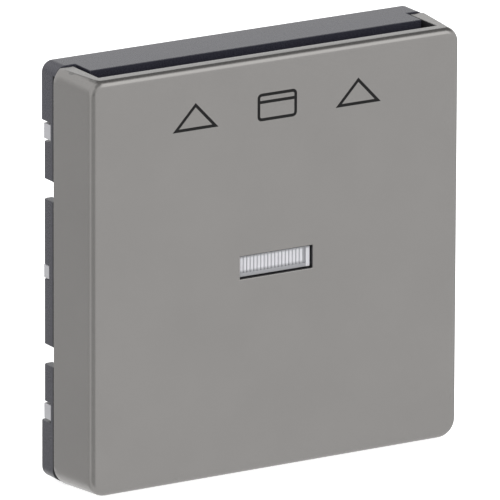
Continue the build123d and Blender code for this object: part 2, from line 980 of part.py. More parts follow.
def fixed_contacts():
    """Contact rivets of the closed and the open terminal."""
    closed_root = closed_face_z - rivet_head
    closed = upright(rivet_r, contact_x, blade_mid, (closed_root, closed_face_z))
    closed += upright(rivet_shank_r, contact_x, blade_mid, (closed_root - strip_wall, closed_root))
    opened = upright(rivet_r, contact_x, blade_mid, (open_face_z, open_root_z))
    opened += upright(rivet_shank_r, contact_x, blade_mid, (open_root_z, open_root_z + strip_wall))
    return [closed, opened]


def strip(index, low):
    """The upright part of a terminal."""
    x, width = strip_places[index]
    return block(span(x, width), (strip_front, strip_rear), (low, strip_top_z))


def contact_tab(x_span, low):
    """The level tab of a terminal, with the hole for its contact."""
    tab = block(x_span, (strip_front, blade_rear), (low, low + strip_wall))
    hole = (low - overrun, low + strip_wall + overrun)
    return tab - upright(rivet_shank_r + rivet_gap, contact_x, blade_mid, hole)


def common_terminal():
    """Strip with a side tab that the blade's root bears on."""
    x, width = strip_places[0]
    low, high = span(blade_z, 2 * root_rise)
    tab = block((x - width / 2, common_tab_x), (strip_front, blade_rear), (low, high))
    return strip(0, low) + tab


def closed_terminal():
    """Strip bent into a tab under the blade's tip."""
    x, width = strip_places[2]
    low = closed_face_z - rivet_head - strip_wall
    bent = strip(2, low) + contact_tab((contact_x - rivet_r - root_gap, x + width / 2), low)
    bend = front_face(bent).edges().sort_by(Axis.Z)[0]
    return fillet(bend, strip_bend_r)


def open_terminal():
    """Strip with an arm that reaches over the blade's tip."""
    x, width = strip_places[1]
    tip = contact_x + rivet_r + root_gap
    arm = block(
        (x - width / 2, tip), (strip_front, strip_rear), (open_root_z, open_root_z + arm_rise)
    )
    tab = contact_tab((contact_x - rivet_r - root_gap, tip), open_root_z)
    return strip(1, open_root_z) + arm + tab


def terminal_cages():
    """Three clamp cages around the upper ends of the strips."""
    cages = []
    heights = (cage_bottom_z, cage_top_z)
    for x in terminal_places:
        cage = block(span(x, cage_width), (cage_front, cage_rear), heights)
        cage = chamfer(cage.edges().filter_by(Axis.Z), cage_corner)
        cage -= block(
            span(x, cage_mouth_width),
            (mouth_front, mouth_rear),
            (cage_bottom_z - overrun, cage_top_z + overrun),
        )
        hole = (mouth_rear - overrun, cage_rear + overrun)
        cages.append(cage - post(terminal_screw_r + terminal_screw_gap, x, cage_middle_z, hole))
    return cages


def terminal_screws():
    """Three clamp screws, turned from the back through the housing's holes."""
    depths = (mouth_rear - terminal_screw_reach, cage_rear + block_gap)
    return [
        screw(terminal_screw_r, terminal_head_r, terminal_head, x, cage_middle_z, depths)
        for x in terminal_places
    ]


makers = [
    front_cover,
    carrier_frame,
    window_lens,
    light_guide,
    retaining_clips,
    card_lever,
    lever_pin,
    lever_spring,
    circuit_board,
    indicator_leds,
    series_resistor,
    blocking_diode,
    board_screws,
    lamp_contacts,
    mechanism_housing,
    housing_screws,
    switch_case,
    switch_lid,
    switch_plunger,
    contact_blade,
    moving_contact,
    fixed_contacts,
    common_terminal,
    closed_terminal,
    open_terminal,
    terminal_cages,
    terminal_screws,
]

os.makedirs("parts", exist_ok=True)
for make in makers:
    made = make()
    if isinstance(made, list):
        made = Compound(children=[solid for piece in made for solid in piece.solids()])
    export_step(made, f"parts/{make.__name__}.step")
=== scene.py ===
import math

import bmesh
import bpy
from mathutils import Matrix, Vector


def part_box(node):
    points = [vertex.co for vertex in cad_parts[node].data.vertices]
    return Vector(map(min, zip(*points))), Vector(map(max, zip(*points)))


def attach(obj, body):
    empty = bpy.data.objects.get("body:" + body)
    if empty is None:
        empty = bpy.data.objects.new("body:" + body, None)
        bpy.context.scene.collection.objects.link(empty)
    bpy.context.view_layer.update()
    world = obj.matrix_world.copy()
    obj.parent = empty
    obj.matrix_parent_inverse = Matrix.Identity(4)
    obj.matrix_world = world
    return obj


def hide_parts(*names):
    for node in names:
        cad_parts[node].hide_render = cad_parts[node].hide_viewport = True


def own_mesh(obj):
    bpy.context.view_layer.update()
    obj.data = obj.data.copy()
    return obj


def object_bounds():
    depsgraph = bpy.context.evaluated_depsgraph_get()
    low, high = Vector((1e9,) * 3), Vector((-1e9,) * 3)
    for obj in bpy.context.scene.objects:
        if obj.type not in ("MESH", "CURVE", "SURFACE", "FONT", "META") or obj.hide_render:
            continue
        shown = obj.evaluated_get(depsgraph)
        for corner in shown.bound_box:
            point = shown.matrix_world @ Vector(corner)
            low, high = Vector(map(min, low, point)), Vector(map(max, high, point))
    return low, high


bl_info = {
    "name": "Key card switch",
    "version": (1, 0, 0),
    "blender": (4, 5, 0),
    "location": "3D View > Sidebar > Card switch",
    "description": "Makes the shapes and finishes of a hotel key card switch around its CAD frame",
    "category": "Object",
}

# The frame: X right, Y into the wall, Z up, in metres
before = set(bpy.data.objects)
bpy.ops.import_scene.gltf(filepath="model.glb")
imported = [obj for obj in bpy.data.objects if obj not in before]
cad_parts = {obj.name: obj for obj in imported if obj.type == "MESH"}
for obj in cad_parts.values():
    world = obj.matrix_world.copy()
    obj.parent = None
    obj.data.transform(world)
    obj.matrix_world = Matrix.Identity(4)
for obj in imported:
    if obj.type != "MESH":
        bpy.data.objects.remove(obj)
CAD_LOW, CAD_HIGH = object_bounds()

MM = 0.001

# A Mix node's setting for colours and where it gives them, and its sockets for them
MIX_COLOURS = {"data_type": "RGBA", "out": 2}
MIX_FACTOR, MIX_A, MIX_B = 0, 6, 7

# Kinds of input of a Geometry Nodes tree, by the value that they start from
INPUT_KINDS = {float: "NodeSocketFloat", int: "NodeSocketInt", tuple: "NodeSocketVector"}

# How far vertices of a CAD mesh may be apart and still be one
WELD = 0.002 * MM
FLAT_ANGLE = math.radians(0.3)
SHARP_ANGLE = math.radians(32)

# How strongly a corner's normal follows the largest face at it, of 100
FLAT_FACE_WEIGHT = 90

RIB_COUNT = 18

# Vertices nearer to each other than this many head radii are on one screw
SAME_SCREW = 2.2
# The head of a screw whose length comes from its CAD solid, as a share of that length
HEAD_SHARE = 0.3
# A screw's core as a share of its shank, and its thread's ridge as a share of the pitch
CORE_SHARE, RIDGE_SHARE = 0.82, 0.33

# How far the print goes into the cover, and how much prouder its stripe is than its outline, so
# that no two faces share a plane
INK_SUNK = 0.03 * MM
STRIPE_PROUD = 1.2

# The studio as glossy surfaces see it: an even 1, changed by cards and a soft box far off
# all round. Each has the way to it, its half width in degrees and what it adds.
CARDS = (
    ((-0.61, -0.74, -0.28), 26, -0.42),
    ((-0.58, -0.73, 0.35), 20, -0.4),
    ((-0.20, -0.40, 0.89), 20, -0.6),
    ((0.47, 0.28, 0.84), 38, -0.84),
    ((0.50, -0.68, 0.54), 20, 0.75),
    ((-0.79, 0.55, -0.28), 34, -0.3),
    ((0.88, 0.38, -0.28), 18, -0.45),
)
# A card is whole as far as the first share of its half width, and gone at the second
CARD_CORE, CARD_EDGE = 0.7, 1.3
DARKEST = 0.12

# What makes the paper white to the camera, on top of the light that it gets
PAPER_GLOW = 0.82
FLOOR_HALF = 4.0

# Each lamp's place, aimed at the middle of the object, and its side, in metres
LAMPS = {"front_lamp": (-0.35, -0.75, 0.35), "top_lamp": (0.05, -0.05, 0.8)}
LAMP_SIDE = 0.5

# The photo's lens, for a sensor 36 mm wide, and the middle of its view: its place along Y,
# then to the right and up in the picture
SENSOR, PHOTO_LENS = 36.0, 867.4
AIM_DEPTH, AIM_RIGHT, AIM_UP = -6.6 * MM, 0.062 * MM, -0.022 * MM

# Where the lacquer ends: half the cavity's width and the wall in front of it, and half the
# window's width and height and the lacquer's lip in it
CAVITY_HALF = 28.25 * MM
FRONT_WALL = 2.35 * MM
WINDOW_HALF = (6.15 * MM, 1.75 * MM)
WINDOW_LIP = 0.12 * MM

# Behind the seam the base has the gap's shade painted on it as far as this, outside this half
# width and below this height
SEAM_REACH = 1.1 * MM
SEAM_HALF = 28.4 * MM
SEAM_TOP = 29.5 * MM
# The shade is whole up to this share of its reach
SEAM_CORE = 0.8
# The painted shade's colour as a share of the base's, and what is added to its roughness
SEAM_DARK, SEAM_MATT = 0.1, 0.6

# Where the lens is painted darker: painted shade in the troughs for the dark behind it, a painted
# shadow of the window's top edge, and darker towards the lower edge. Each has an axis, two places
# along it in millimetres, and how much of the painted dark shows at each. Places along Y are from
# the lens's front.
TROUGHS = ("Y", 0.06, 0.3, 0.0, 1.0)
LOWER_EDGE = ("Z", -0.95, -0.4, 0.9, 0.0)
UPPER_EDGE = ("Z", 1.1, 1.45, 0.0, 0.9)
# The lower edge's dark ends at the plain land on the right
BESIDE_LAND = ("X", 5.25, 5.3, 1.0, 0.0)

# Where the values of a noise mostly lie, and those of the sum of two
NOISE_RANGE = {"From Min": 0.3, "From Max": 0.7}
SUM_RANGE = {"From Min": 0.7, "From Max": 1.3}

# The solid finishes. Grain, relief and patches of tone are in millimetres, tone is how much
# lighter or darker the patches are, and spread is how far the roughness changes either way.
FINISHES = {
    # Polycarbonate blend, moulded against a spark-eroded tool: an even matt grain
    "moulded_base": dict(
        roughness=0.27, spread=0.04, grain=0.12, relief=0.003, patch=7, tone=0.05, IOR=1.58
    ),
    # Acetal, moulded: smooth, with the dull sheen of a slippery plastic
    "acetal_clips": dict(roughness=0.42, grain=0.2, relief=0.003, patch=3, tone=0.04, IOR=1.48),
    # Acetal, moulded black, polished by the cards that slide over it
    "acetal_lever": dict(roughness=0.3, grain=0.3, relief=0.002, patch=4, tone=0.1, IOR=1.48),
    # Drawn steel bar: fine lines that run along it
    "drawn_pin_steel": dict(
        roughness=0.25, grain=0.08, relief=0.002, patch=3, tone=0.06,
        stretch=(0.05, 1.0, 1.0), Metallic=1.0,
    ),
    # Drawn steel wire: fine lines along the spring
    "spring_wire_steel": dict(
        roughness=0.3, grain=0.08, relief=0.002, patch=3, tone=0.06,
        stretch=(1.0, 0.05, 1.0), Metallic=1.0,
    ),
    # Brass strip, rolled and stamped: rolling lines up the strip and a trace of tarnish
    "stamped_brass": dict(
        roughness=0.28, spread=0.08, grain=0.1, relief=0.002, patch=2.5, tone=0.14,
        stretch=(1.0, 1.0, 0.08), Metallic=1.0,
    ),
    # Silver alloy contact faces, pressed: soft white metal
    "silver_alloy": dict(roughness=0.25, grain=0.1, relief=0.002, patch=1, tone=0.06, Metallic=1.0),
    # Steel with bright zinc plate: faintly cloudy blue-white metal
    "zinc_plated_steel": dict(
        roughness=0.3, spread=0.08, grain=0.12, relief=0.003, patch=0.8, tone=0.1, Metallic=1.0
    ),
    # Steel strip with nickel plate, folded: warm metal with rolling lines
    "nickel_plated_cages": dict(
        roughness=0.32, grain=0.1, relief=0.002, patch=1.5, tone=0.08,
        stretch=(1.0, 0.1, 1.0), Metallic=1.0,
    ),
    # Clear epoxy with phosphor in it: pale yellow and glossy
    "lamp_epoxy": dict(roughness=0.2, grain=0.4, relief=0.002, patch=1, tone=0.08, IOR=1.55),
    # Black moulding epoxy: matt, with a grain of fillers
    "black_epoxy": dict(roughness=0.5, grain=0.08, relief=0.003, patch=1, tone=0.15, IOR=1.55),
    # Urea resin, pressed: pale grey, smooth and faintly cloudy
    "pressed_urea": dict(roughness=0.4, grain=0.25, relief=0.004, patch=9, tone=0.03, IOR=1.6),
    # Glass-filled polyester, moulded black: matt, with faint flow marks
    "glass_filled_polyester": dict(
        roughness=0.45, grain=0.1, relief=0.003, patch=3, tone=0.12, IOR=1.57
    ),
    # Polyester, moulded red: smooth, so that it slides in its slot
    "red_polyester": dict(roughness=0.25, grain=0.3, relief=0.001, patch=2, tone=0.06, IOR=1.57),
    # Matt black printing ink: a thin film with the pad's faint mottling
    "printed_ink": dict(roughness=0.6, grain=0.15, relief=0.001, patch=1.5, tone=0.2, IOR=1.35),
}


# Colours and nodes


def linear(hex_colour):
    """An sRGB hex colour as linear red, green, blue and alpha."""
    levels = [int(hex_colour[i : i + 2], 16) / 255 for i in (1, 3, 5)]
    curve = (c / 12.92 if c <= 0.04045 else ((c + 0.055) / 1.055) ** 2.4 for c in levels)
    return (*curve, 1.0)


def shade(colour, factor):
    """A linear colour made darker or lighter."""
    return tuple(min(1.0, c * factor) for c in colour[:3]) + (1.0,)


def tones(colour, down, up):
    """A Mix node's two colours: one colour made darker and lighter by these shares."""
    return {MIX_A: shade(colour, 1 - down), MIX_B: shade(colour, 1 + up)}


def add(tree, kind, inputs=None, out=0, **settings):
    """Adds a node with its settings, and links or fills its inputs. A list is several links.

    "Math" is short for "ShaderNodeMath", and so on. The function gives the output that out
    names or counts, or all of them where out is None."""
    node = tree.nodes.new(kind if "Node" in kind else "ShaderNode" + kind)
    for name, value in settings.items():
        setattr(node, name, value)
    for key, given in (inputs or {}).items():
        for value in given if isinstance(given, list) else [given]:
            if isinstance(value, bpy.types.NodeSocket):
                tree.links.new(value, node.inputs[key])
            else:
                node.inputs[key].default_value = value
    return node.outputs if out is None or not node.outputs else node.outputs[out]


def blank(name):
    """A material with an empty node tree."""
    material = bpy.data.materials.new(name)
    material.use_nodes = True
    material.node_tree.nodes.clear()
    return material, material.node_tree


def shaded(tree, inputs):
    """Ends a material's tree in a shader with these inputs."""
    shader = add(tree, "BsdfPrincipled", inputs)
    add(tree, "OutputMaterial", {"Surface": shader})


def axes_of(tree, place):
    """The x, y and z of a place, and the same without their signs."""
    apart = add(tree, "VectorMath", {0: place}, operation="ABSOLUTE")
    points = (place, apart)
    return [add(tree, "SeparateXYZ", {"Vector": point}, None) for point in points]


def inside(tree, limits):
    """Gives 1 where each value is on its side of its limit, else 0."""
    within = 1.0
    for value, test, limit in limits:
        passed = add(tree, "Math", {0: value, 1: limit}, operation=test)
        within = add(tree, "Math", {0: within, 1: passed}, operation="MULTIPLY")
    return within


# Finishes


def surface(
    name, colour, roughness, grain, relief, patch, tone,
    spread=0.05, stretch=(1.0, 1.0, 1.0), shaded_part=None, **shader,
):
    """A solid material with a fine grain, its relief, and a slow change of tone."""
    material, tree = blank(name)
    place = add(tree, "TexCoord", out="Object")
    drawn = add(tree, "Mapping", {"Vector": place, "Scale": stretch})
    rich = {"Detail": 3.0, "Roughness": 0.6}
    fine = add(tree, "TexNoise", {"Vector": drawn, "Scale": 1 / (grain * MM), **rich})
    slow = add(tree, "TexNoise", {"Vector": place, "Scale": 1 / (patch * MM)})
    both = add(tree, "Math", {0: fine, 1: slow}, operation="ADD")
    share = add(tree, "MapRange", {"Value": both, **SUM_RANGE})
    colours = add(tree, "Mix", {MIX_FACTOR: share, **tones(colour, tone, tone)}, **MIX_COLOURS)
    limits = {"To Min": roughness - spread, "To Max": roughness + spread}
    gloss = add(tree, "MapRange", {"Value": fine, **NOISE_RANGE, **limits})
    if shaded_part:
        # A shaded part gets painted shade: a darker colour and a matter finish
        dark = shaded_part(tree, place)
        mixed = {MIX_FACTOR: dark, MIX_A: colours, MIX_B: shade(colour, SEAM_DARK)}
        colours = add(tree, "Mix", mixed, **MIX_COLOURS)
        gloss = add(tree, "Math", {0: dark, 1: SEAM_MATT, 2: gloss}, operation="MULTIPLY_ADD")
    bump = add(tree, "Bump", {"Height": fine, "Distance": relief * MM})
    shaded(tree, {"Base Color": colours, "Roughness": gloss, "Normal": bump, **shader})
    return material


def made_of(name, colour, shaded_part=None):
    """One of the solid finishes, in a colour."""
    return surface(name, colour, shaded_part=shaded_part, **FINISHES[name])


def unlacquered(tree, place):
    """Where the cover is bare plastic: 1 in the cavity and inside the window, else 0. Inside the
    window the dark bare plastic is also painted shade for the window's recess.
    """
    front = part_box("front_cover")[0].y
    along, side = axes_of(tree, place)
    cavity = (
        (side["X"], "LESS_THAN", CAVITY_HALF),
        (along["Y"], "GREATER_THAN", front + FRONT_WALL),
        (along["Z"], "GREATER_THAN", -CAVITY_HALF),
    )
    window = (
        (side["X"], "LESS_THAN", WINDOW_HALF[0]),
        (side["Z"], "LESS_THAN", WINDOW_HALF[1]),
        (along["Y"], "GREATER_THAN", front + WINDOW_LIP),
    )
    parts = {0: inside(tree, cavity), 1: inside(tree, window)}
    return add(tree, "Math", parts, operation="MAXIMUM")


def metallic_lacquer(colour, bare_colour):
    """Metallic lacquer sprayed on the outside of moulded polycarbonate.

    Aluminium flakes mirror the studio softly with a fine grain, the film has a faint orange
    peel, and the inside, which the spray doesn't reach, is dark and matt."""
    material, tree = blank("metallic_lacquer")
    place = add(tree, "TexCoord", out="Object")
    # Flakes are about 0.03 mm across, drawn at 0.2 mm so that they show
    flakes = add(tree, "TexVoronoi", {"Vector": place, "Scale": 1 / (0.2 * MM)}, "Color")
    glint = add(tree, "SeparateColor", {"Color": flakes})
    cloud = add(tree, "TexNoise", {"Vector": place, "Scale": 1 / (9 * MM)})
    peel = add(tree, "TexNoise", {"Vector": place, "Scale": 1 / (1.1 * MM), "Detail": 1.0})
    # The flakes count for less than the cloud, and the film is 3.5% lighter or darker by both
    mixed = add(tree, "Math", {0: glint, 1: 0.6, 2: cloud}, operation="MULTIPLY_ADD")
    share = add(tree, "MapRange", {"Value": mixed, "From Min": 0.35, "From Max": 1.25})
    colours = add(tree, "Mix", {MIX_FACTOR: share, **tones(colour, 0.035, 0.035)}, **MIX_COLOURS)
    gloss = add(tree, "MapRange", {"Value": glint, "To Min": 0.2, "To Max": 0.26})
    # Bare plastic has its own colour, is rougher by 0.3, and isn't metallic
    bare = unlacquered(tree, place)
    ends = {MIX_A: colours, MIX_B: bare_colour}
    colours = add(tree, "Mix", {MIX_FACTOR: bare, **ends}, **MIX_COLOURS)
    gloss = add(tree, "Math", {0: bare, 1: 0.3, 2: gloss}, operation="MULTIPLY_ADD")
    metal = add(tree, "MapRange", {"Value": bare, "To Min": 0.85, "To Max": 0.0})
    bump = add(tree, "Bump", {"Height": peel, "Distance": 0.002 * MM})
    shaded(tree, {"Base Color": colours, "Roughness": gloss, "Normal": bump, "Metallic": metal})
    return material


def seam_shade(tree, place):
    """Where the base runs in behind the cover's edge and has the gap's shade painted on: 1 in the
    gap, else 0.
    """
    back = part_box("front_cover")[1].y
    along, side = axes_of(tree, place)
    below = add(tree, "Math", {0: along["Z"], 1: -1.0}, operation="MULTIPLY")
    outward = add(tree, "Math", {0: side["X"], 1: below}, operation="MAXIMUM")
    edge = inside(tree, ((outward, "GREATER_THAN", SEAM_HALF), (along["Z"], "LESS_THAN", SEAM_TOP)))
    ends = {"From Min": back + SEAM_REACH, "From Max": back + SEAM_CORE * SEAM_REACH}
    near = add(tree, "MapRange", {"Value": along["Y"], **ends}, interpolation_type="SMOOTHSTEP")
    return add(tree, "Math", {0: edge, 1: near}, operation="MULTIPLY")


def clear_polycarbonate(colour, lens_shade):
    """Clear polycarbonate with a diffuser in it, moulded and polished.

    The crests are bright. The troughs are painted darker as painted shade for the dark behind the
    lens, the top edge has a painted shadow of the window's edge, and the lens is painted darker
    towards the lower edge."""
    material, tree = blank("milky_polycarbonate")
    place = add(tree, "TexCoord", out="Object")
    along = add(tree, "SeparateXYZ", {"Vector": place}, None)
    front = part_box("window_lens")[0].y
    cloud = add(tree, "TexNoise", {"Vector": place, "Scale": 1 / (1.5 * MM)})
    milky = add(tree, "Mix", {MIX_FACTOR: cloud, **tones(colour, 0.1, 0.06)}, **MIX_COLOURS)
    dark = 1.0
    for (axis, start, end, low, high), operation in (
        (LOWER_EDGE, "MULTIPLY"),
        (BESIDE_LAND, "MULTIPLY"),
        (UPPER_EDGE, "MAXIMUM"),
        (TROUGHS, "MAXIMUM"),
    ):
        base = front if axis == "Y" else 0.0
        ends = {"From Min": base + start * MM, "From Max": base + end * MM}
        fade = {"Value": along[axis], **ends, "To Min": low, "To Max": high}
        zone = add(tree, "MapRange", fade, interpolation_type="SMOOTHSTEP")
        dark = add(tree, "Math", {0: dark, 1: zone}, operation=operation)
    # Painted shade: the troughs and edges take the shade colour
    colours = add(tree, "Mix", {MIX_FACTOR: dark, MIX_A: milky, MIX_B: lens_shade}, **MIX_COLOURS)
    gloss = add(tree, "MapRange", {"Value": cloud, "To Min": 0.1, "To Max": 0.2})
    shaded(tree, {"Base Color": colours, "Roughness": gloss, "IOR": 1.58, "Coat Weight": 0.6})
    return material


def board_laminate(colour, copper):
    """Glass-fibre laminate under green solder mask, with tracks that show paler through it."""
    material, tree = blank("solder_mask")
    place = add(tree, "TexCoord", out="Object")
    # Tracks run up the board, 0.6 mm wide and 2.4 mm apart
    across = add(tree, "SeparateXYZ", {"Vector": place}, "X")
    wave = add(tree, "Math", {0: across, 1: 2.4 * MM, 2: 0.0}, operation="WRAP")
    track = add(tree, "Math", {0: wave, 1: 0.6 * MM}, operation="LESS_THAN")
    weave = add(tree, "TexNoise", {"Vector": place, "Scale": 1 / (0.5 * MM)})
    colours = add(tree, "Mix", {MIX_FACTOR: weave, **tones(colour, 0.15, 0.15)}, **MIX_COLOURS)
    colours = add(tree, "Mix", {MIX_FACTOR: track, MIX_A: colours, MIX_B: copper}, **MIX_COLOURS)
    bump = add(tree, "Bump", {"Height": track, "Distance": 0.02 * MM, "Strength": 0.6})
    shaded(
        tree,
        {"Base Color": colours, "Roughness": 0.3, "Normal": bump, "IOR": 1.52, "Coat Weight": 0.5},
    )
    return material


def studio_light(tree, direction):
    """How bright the studio is in a direction, as glossy surfaces see it."""
    total = 1.0
    for toward, reach, amount in CARDS:
        pair = {0: direction, 1: Vector(toward).normalized()}
        near = add(tree, "VectorMath", pair, out="Value", operation="DOT_PRODUCT")
        edge, core = (math.cos(share * math.radians(reach)) for share in (CARD_EDGE, CARD_CORE))
        fade = {"Value": near, "From Min": edge, "From Max": core, "To Max": amount}
        zone = add(tree, "MapRange", fade, interpolation_type="SMOOTHSTEP")
        total = add(tree, "Math", {0: total, 1: zone}, operation="ADD")
    return add(tree, "Math", {0: total, 1: DARKEST}, operation="MAXIMUM")


def white_rays(tree):
    """A tree's kinds of ray, and 1 for those that see plain white."""
    rays = add(tree, "LightPath", out=None)
    kinds = {0: rays["Is Camera Ray"], 1: rays["Is Transmission Ray"]}
    return rays, add(tree, "Math", kinds, operation="MAXIMUM")


def studio_paper(colour):
    """Matt white paper, which looks white to the camera and takes a faint shadow."""
    material, tree = blank("studio_paper")
    rays, seen = white_rays(tree)
    glow = add(tree, "Math", {0: seen, 1: PAPER_GLOW}, operation="MULTIPLY")
    paper = add(tree, "BsdfDiffuse", {"Color": colour})
    lift = add(tree, "Emission", {"Color": (1, 1, 1, 1), "Strength": glow})
    both = add(tree, "AddShader", {0: paper, 1: lift})
    # Glossy surfaces see the studio right through it, with the white and the cards below too
    clear = add(tree, "BsdfTransparent")
    chosen = add(tree, "MixShader", {0: rays["Is Glossy Ray"], 1: both, 2: clear})
    add(tree, "OutputMaterial", {"Surface": chosen})
    return material


# Meshes


def in_scene(name, data):
    """A new object in the scene."""
    thing = bpy.data.objects.new(name, data)
    bpy.context.scene.collection.objects.link(thing)
    return thing


def mesh_of(name, bm):
    """A mesh made from a bmesh, which is freed."""
    mesh = bpy.data.meshes.new(name)
    bm.to_mesh(mesh)
    bm.free()
    return mesh


def new_piece(name, mesh, material, body="fixed_body", replaced=()):
    """Puts a finished mesh in the scene on its body, in place of CAD nodes."""
    piece = in_scene(name, mesh)
    mesh.materials.clear()
    mesh.materials.append(material)
    mesh.shade_smooth()
    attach(piece, body)
    if replaced:
        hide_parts(*replaced)
    return piece


def taken_from(work, name):
    """The mesh that an object's modifiers make, after which the object is removed."""
    graph = bpy.context.evaluated_depsgraph_get()
    graph.update()
    mesh = bpy.data.meshes.new_from_object(work.evaluated_get(graph))
    mesh.name = name
    work.modifiers.clear()
    bpy.data.objects.remove(work)
    return mesh


def welded(node):
    """A copy of a CAD node's mesh with its vertices joined and its flat faces whole."""
    bm = bmesh.new()
    bm.from_mesh(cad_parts[node].data)
    bmesh.ops.remove_doubles(bm, verts=bm.verts, dist=WELD)
    bmesh.ops.dissolve_limit(bm, angle_limit=FLAT_ANGLE, verts=bm.verts, edges=bm.edges)
    return mesh_of(node + "_shape", bm)


def rounded(name, node, edge, material, body="fixed_body"):
    """A CAD node's shape with its sharp edges rounded to a width in metres."""
    mesh = welded(node)
    mesh.shade_smooth()
    work = in_scene(name + "_work", mesh)
    bevel = work.modifiers.new("edges", "BEVEL")
    bevel.width = edge
    bevel.segments = 2
    bevel.limit_method = "ANGLE"
    bevel.angle_limit = SHARP_ANGLE
    bevel.use_clamp_overlap = False
    # Each flat face is lit as flat, and the bend stays in the narrow faces beside it
    even = work.modifiers.new("even", "WEIGHTED_NORMAL")
    even.mode = "FACE_AREA"
    even.weight = FLAT_FACE_WEIGHT
    new_piece(name, taken_from(work, name), material, body, [node])


def made_by_nodes(name, mesh, tree, values):
    """The mesh that a Geometry Nodes tree makes from a start mesh and named values."""
    work = in_scene(name + "_work", mesh)
    modifier = work.modifiers.new("nodes", "NODES")
    modifier.node_group = tree
    for item in tree.interface.items_tree:
        if item.in_out == "INPUT" and item.name in values:
            modifier[item.identifier] = values[item.name]
    return taken_from(work, name)


def points_mesh(name, points):
    """A mesh of loose points."""
    mesh = bpy.data.meshes.new(name)
    mesh.from_pydata([tuple(p) for p in points], [], [])
    return mesh


def screw_centres(node, reach):
    """The (x, z) middles of a node's separate screws, and their lowest and highest y."""
    points = [v.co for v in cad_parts[node].data.vertices]
    groups = []
    for p in points:
        flat = Vector((p.x, p.z))
        for group in groups:
            if (flat - group[0]).length < SAME_SCREW * reach:
                group.append(flat)
                break
        else:
            groups.append([flat])
    centres = []
    for group in groups:
        lows = [min(p[i] for p in group) for i in (0, 1)]
        highs = [max(p[i] for p in group) for i in (0, 1)]
        centres.append([(low + high) / 2 for low, high in zip(lows, highs)])
    ys = [p.y for p in points]
    return centres, min(ys), max(ys)


# Geometry Nodes trees


def node_tree(name, sizes):
    """An empty Geometry Nodes tree with named inputs and a material, and its given sockets."""
    tree = bpy.data.node_groups.new(name, "GeometryNodeTree")
    new_socket = tree.interface.new_socket
    new_socket("Geometry", in_out="INPUT", socket_type="NodeSocketGeometry")
    for label, value in sizes.items():
        socket = new_socket(label, in_out="INPUT", socket_type=INPUT_KINDS[type(value)])
        socket.default_value = value
    new_socket("Material", in_out="INPUT", socket_type="NodeSocketMaterial")
    new_socket("Geometry", in_out="OUTPUT", socket_type="NodeSocketGeometry")
    return tree, add(tree, "NodeGroupInput", out=None)


def end_tree(tree, geometry, material):
    """Ends a tree in plain geometry with its material."""
    real = add(tree, "GeometryNodeRealizeInstances", {"Geometry": geometry})
    painted = add(tree, "GeometryNodeSetMaterial", {"Geometry": real, "Material": material})
    add(tree, "NodeGroupOutput", {"Geometry": painted})


def wire_along(tree, path, radius, sides):
    """A closed wire that follows a path."""
    ring = add(tree, "GeometryNodeCurvePrimitiveCircle", {"Resolution": sides, "Radius": radius})
    return add(
        tree, "GeometryNodeCurveToMesh", {"Curve": path, "Profile Curve": ring, "Fill Caps": True}
    )


def laid_down(tree, shape, given, **turn):
    """An upright shape turned to run along Y, at each given point, and the tree's end."""
    tipped = {"Geometry": shape, "Rotation": (-math.pi / 2, 0.0, 0.0)}
    lying = add(tree, "GeometryNodeTransform", tipped)
    copies = {"Points": given["Geometry"], "Instance": lying, **turn}
    end_tree(tree, add(tree, "GeometryNodeInstanceOnPoints", copies), given["Material"])


def screw_tree():
    """Slotted screws along Y, one at each point, each turned to its own angle."""
    sizes = {
        "Shank radius": 0.85 * MM,
        "Length": 3.6 * MM,
        "Head radius": 2.0 * MM,
        "Head height": 1.2 * MM,
        "Slot": 0.5 * MM,
        "Thread pitch": 0.6 * MM,
        "Seed": 3,
    }
    tree, given = node_tree("slotted_screws", sizes)
    core, ridge, down, half_down, half_up, wide = (
        add(tree, "Math", {0: given[size], 1: share}, operation="MULTIPLY")
        for size, share in (
            ("Shank radius", CORE_SHARE),
            ("Thread pitch", RIDGE_SHARE),
            ("Length", -1.0),
            ("Length", -0.5),
            ("Head height", 0.5),
            ("Head radius", 3.0),
        )
    )
    # The shank, and the head, which is a disc
    shank, disc = (
        add(tree, "GeometryNodeMeshCylinder", {"Vertices": sides, "Radius": radius, "Depth": depth})
        for sides, radius, depth in (
            (24, core, given["Length"]),
            (48, given["Head radius"], given["Head height"]),
        )
    )
    # The thread is a ridge that winds round the shank
    turns = add(tree, "Math", {0: given["Length"], 1: given["Thread pitch"]}, operation="DIVIDE")
    winding = {"Rotations": turns, "Start Radius": core, "End Radius": core, "Resolution": 20}
    spiral = add(tree, "GeometryNodeCurveSpiral", {**winding, "Height": given["Length"]})
    thread = wire_along(tree, spiral, ridge, 4)
    # A bar wider than the head cuts its slot
    bar = add(tree, "CombineXYZ", {"X": wide, "Y": given["Slot"], "Z": given["Head height"]})
    cutter = add(tree, "GeometryNodeMeshCube", {"Size": bar})
    shank, thread, disc, cutter = (
        add(
            tree,
            "GeometryNodeTransform",
            {"Geometry": part, "Translation": add(tree, "CombineXYZ", {"Z": height})},
        )
        for part, height in (
            (shank, half_down),
            (thread, down),
            (disc, half_up),
            (cutter, given["Head height"]),
        )
    )
    cut = {"Mesh 1": disc, "Mesh 2": cutter}
    head = add(tree, "GeometryNodeMeshBoolean", cut, operation="DIFFERENCE", solver="EXACT")
    limits = {0: (0.0, 0.0, 0.0), 1: (0.0, math.pi, 0.0), "Seed": given["Seed"]}
    spin = add(tree, "FunctionNodeRandomValue", limits, data_type="FLOAT_VECTOR")
    screw = add(tree, "GeometryNodeJoinGeometry", {0: [shank, thread, head]})
    laid_down(tree, screw, given, Rotation=spin)
    return tree


